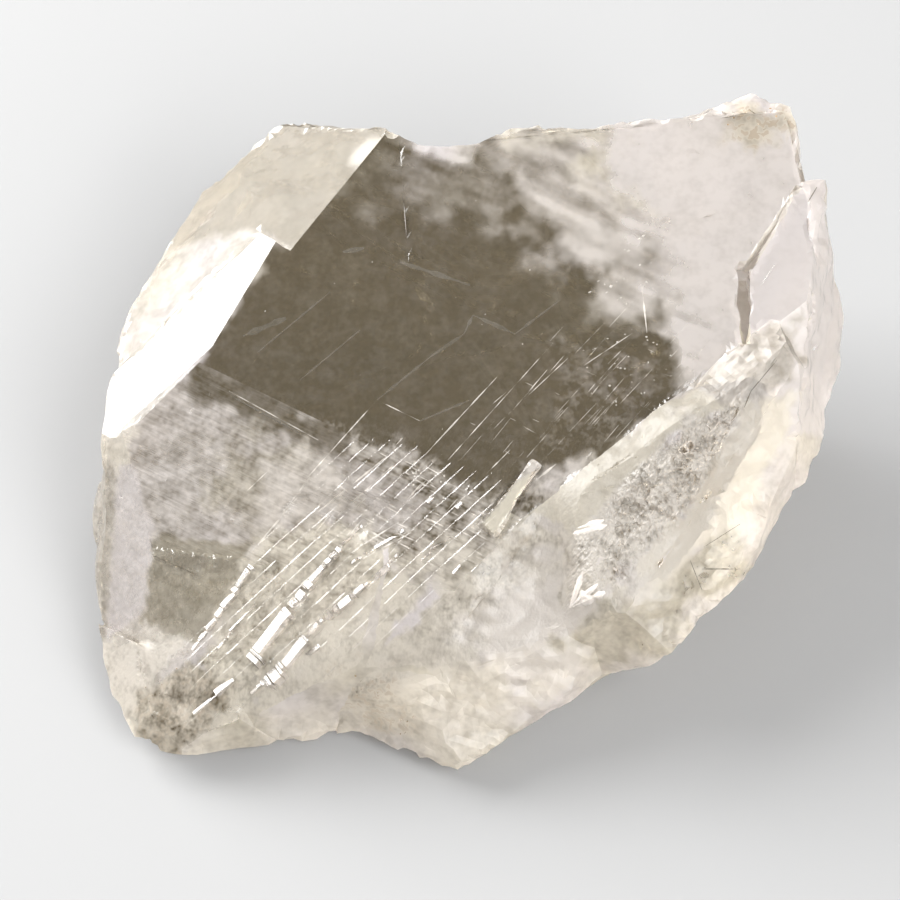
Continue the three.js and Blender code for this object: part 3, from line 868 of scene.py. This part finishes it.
# %% Draw the lines
fine_lines = [scatter(CLEAR_FRONT, 40, UPWARD, (8, 55), (0.25, 0.65), 31),
              scatter(CLEAR_FRONT, 14, DOWNWARD, (5, 16), (0.3, 0.6), 32),
              scatter(HATCHED, 7, UPWARD, (12, 30), (0.6, 1.1), 33),
              scatter(HATCHED, 60, DOWNWARD, (5, 22), (0.6, 1.5), 34),
              scatter(LOBE, 12, UPWARD + 3, (8, 30), (0.6, 1.2), 35)]
ridges("growth_lines", np.vstack([np.array(DRAWN_LINES, float)] + fine_lines), chipped, {})
CRESTS = [(573, 534, 607, 525, 9), (578, 528, 604, 520, 6), (570, 608, 583, 572, 13),
          (573, 607, 605, 592, 10), (572, 606, 598, 584, 12)]
ridges("crests", np.array(CRESTS, float), white, {}, 0.35, 0.5)
ridges("phantom_lines", np.array(PHANTOMS, float), phantom, {}, 0.04, 0.5)
CRACKS = [(702, 569, 740, 569, 1.5), (775, 264, 762, 284, 1.2), (777, 360, 751, 391, 1.6),
          (751, 391, 744, 408, 1.4), (817, 187, 808, 202, 1.4), (233, 397, 300, 433, 3.0),
          (690, 560, 702, 590, 1.5), (740, 524, 704, 547, 1.2)]
ridges("cracks", np.array(CRACKS, float), quartz, {"milk": 0.2, "warmth": 0.5}, 0.6, 0.6)

# %% [markdown]
# ## Bright steps
# The risers of the growth steps lie nearly parallel to the bright face, so they flash with it. They are
# broken into short blocks by gaps across them. Each block is a wedge: its flat top rises to the right
# from the tread, within a few degrees of the bright face, and its back falls steeply to the tread again.

# %% Bright steps
# Each row: both ends of the lower edge as seen in pixels, the width at each end, the number of blocks
# and how far they are turned from the bright face.
RISERS = [(191, 649, 249, 563, 3, 9, 13, 0.10), (246, 656, 285, 605, 17, 12, 5, 0.03),
          (287, 603, 301, 588, 12, 9, 2, 0.05), (302, 586, 338, 545, 8, 6, 9, 0.22),
          (263, 678, 302, 636, 14, 9, 7, 0.06), (302, 636, 322, 616, 8, 6, 4, 0.15),
          (323, 614, 389, 563, 8, 5, 13, 0.22), (194, 713, 231, 674, 2, 9, 2, 0.03),
          (305, 653, 319, 643, 4, 5, 4, 0.15), (250, 692, 263, 678, 4, 6, 3, 0.12),
          (452, 573, 459, 563, 4, 4, 1, 0.03), (426, 502, 432, 495, 4, 3, 1, 0.10),
          (455, 507, 461, 500, 3, 4, 1, 0.10), (214, 652, 254, 601, 2, 2, 8, 0.35),
          (350, 598, 398, 552, 2, 3, 8, 0.35), (350, 562, 404, 528, 3, 4, 9, 0.40),
          (340, 545, 362, 524, 3, 3, 5, 0.30), (420, 560, 450, 534, 2, 2, 5, 0.35)]


def blocks(row, seed):
    """Splits a riser into its blocks by random cuts that crowd towards its lower end. A gap of 0.5 to
    1.5 pixels parts them, and each keeps 70 to 110 % of the width there."""
    dice = np.random.default_rng(seed)
    low, high = np.array(row[0:2]), np.array(row[2:4])
    low_width, high_width, count, turn = row[4:]
    cuts = np.concatenate([[0], np.sort(dice.uniform(0.02, 1, count - 1) ** 1.6), [1]])
    starts, stops = cuts[:-1, None], cuts[1:, None]
    gap = dice.uniform(0.5, 1.5, (count, 1)) / np.linalg.norm(high - low)
    stops = np.maximum(stops - gap, starts + 0.4 * (stops - starts))
    width = low_width + (high_width - low_width) * (starts + stops) / 2
    return np.hstack([low + (high - low) * starts, low + (high - low) * stops,
                      width * dice.uniform(0.7, 1.1, (count, 1)), np.full((count, 1), turn)])


split = np.vstack([blocks(row, 50 + number) for number, row in enumerate(RISERS)])
low_end, high_end = on_skin(split[:, :2])[0], on_skin(split[:, 2:4])[0]
tops = unit(bright + split[:, 5:6] * np.random.default_rng(90).normal(0, 1, low_end.shape))
# Each block's long edge lies in the plane of its top. Its outline climbs, falls back and is sunk.
run = (high_end - low_end) - np.sum((high_end - low_end) * tops, axis=1, keepdims=True) * tops
foot = (low_end + high_end - run) / 2
climb_way = unit(np.cross(run, tops))
climb_way *= np.sign(climb_way @ rise_way)[:, None]
width = split[:, 4:5] * SEEN / IMAGE
crest = climb_way * width
back = rise_way * width * 1.3 - tread * 0.2 * MM
sunk = rise_way * width - tread * 0.6 * MM
outline = np.stack([np.zeros_like(crest), crest, back, sunk], axis=1)
make_bars("bright_steps", np.stack([foot, foot + run], axis=1), np.stack([outline, outline], axis=1),
          quartz, {"milk": 0.8, "warmth": 0.4, "mottle": 0.6})

# %% [markdown]
# ## Grains
# Small white grains and flakes sit on the clear face at its right, and white grains over the stepped lobe
# are painted glints. Brown grains of iron rust lie in the pits of the tip and of the lower edge. They are
# bars as short as they are wide.

# %% Grains
rust = make_grain("iron_rust", 0.0, Milk=0.4, Mottle=1.0, Stain=1.0, Frost=1.0)
WHITE_FLAKES_AND_GLINTS = [([(567, 350), (640, 322), (676, 345), (676, 395), (600, 410)], 46, (0.8, 2.6)),
               ([(575, 250), (650, 235), (668, 300), (590, 310)], 22, (1.0, 3.6)),
               ([(230, 330), (470, 180), (560, 300), (450, 440)], 16, (0.6, 1.6)),
               ([(410, 470), (450, 470), (450, 510), (410, 510)], 16, (1.0, 3.2)),
               # The last spot, over the stepped lobe, holds painted glints: tiny white grains where the
               # steps flash.
               ([(200, 640), (300, 520), (400, 560), (300, 660), (210, 710)], 70, (0.5, 2.0))]
BROWN_SPOTS = [([(725, 110), (780, 108), (785, 136), (728, 132)], 12, (1.0, 3.0)),
               ([(345, 675), (375, 675), (380, 700), (350, 705)], 9, (1.0, 2.6)),
               ([(395, 715), (415, 718), (418, 735), (400, 735)], 5, (1.0, 3.0)),
               ([(130, 690), (180, 660), (190, 690), (150, 720)], 9, (0.8, 2.0))]


def grains(name, spots, material, seed):
    """Bars as short as they are wide, spread over each spot."""
    lines = [scatter(zone, count, 30 * number, sizes, sizes, seed + number)
             for number, (zone, count, sizes) in enumerate(spots)]
    ridges(name, np.vstack(lines), material, {}, 0.3)


grains("white_grains_and_glints", WHITE_FLAKES_AND_GLINTS, chipped, 70)
grains("rust_grains", BROWN_SPOTS, rust, 80)

# %% [markdown]
# ## Floor
# The stone lies on plain pale paper, a hair below its resting flat so that the two don't flicker.

# %% Floor
HALF, LOW = 1.5, -0.02 * MM  # half its width, and its height
sheet = bpy.data.meshes.new("floor")
sheet.from_pydata([(-HALF, -HALF, LOW), (HALF, -HALF, LOW), (HALF, HALF, LOW), (-HALF, HALF, LOW)], [],
                  [(0, 1, 2, 3)])
floor = put("floor", sheet)
sheet.materials.append(new_material("paper", Base_Color=(0.28, 0.28, 0.28, 1), Roughness=0.9)[0])
print("floor:", 2 * HALF, "m wide")

# %% [markdown]
# ## Light
# Soft white light comes from all sides. The key stands low behind the stone on the left, where its
# mirror image fills the bright face. The fill comes from above right, and the front lamp lights the slab.

# %% Light
world = bpy.data.worlds.new("studio")
world.use_nodes = True
world.node_tree.nodes["Background"].inputs["Color"].default_value = (1, 1, 1, 1)
world.node_tree.nodes["Background"].inputs["Strength"].default_value = 0.66
bpy.context.scene.world = world


def softbox(name, direction, distance, width, radiance):
    """A square lamp that faces the stone from a direction; its power is radiance times pi times area."""
    lamp = bpy.data.lights.new(name, "AREA")
    lamp.shape = "SQUARE"
    lamp.size = width
    lamp.energy = radiance * math.pi * width * width
    thing = put(name, lamp)
    way = Vector(direction).normalized()
    thing.location = way * distance
    thing.rotation_euler = way.to_track_quat("Z", "Y").to_euler()
    print(name, "lamp:", round(lamp.energy, 1), "W")


softbox("key", (-0.707, 0.475, 0.523), 0.5, 0.36, 18)
softbox("fill", (0.6, -0.5, 1.0), 0.8, 0.5, 6.8)
softbox("front", (0.62, -0.66, 0.42), 0.7, 0.5, 5.6)
bpy.context.scene.view_settings.view_transform = "Standard"
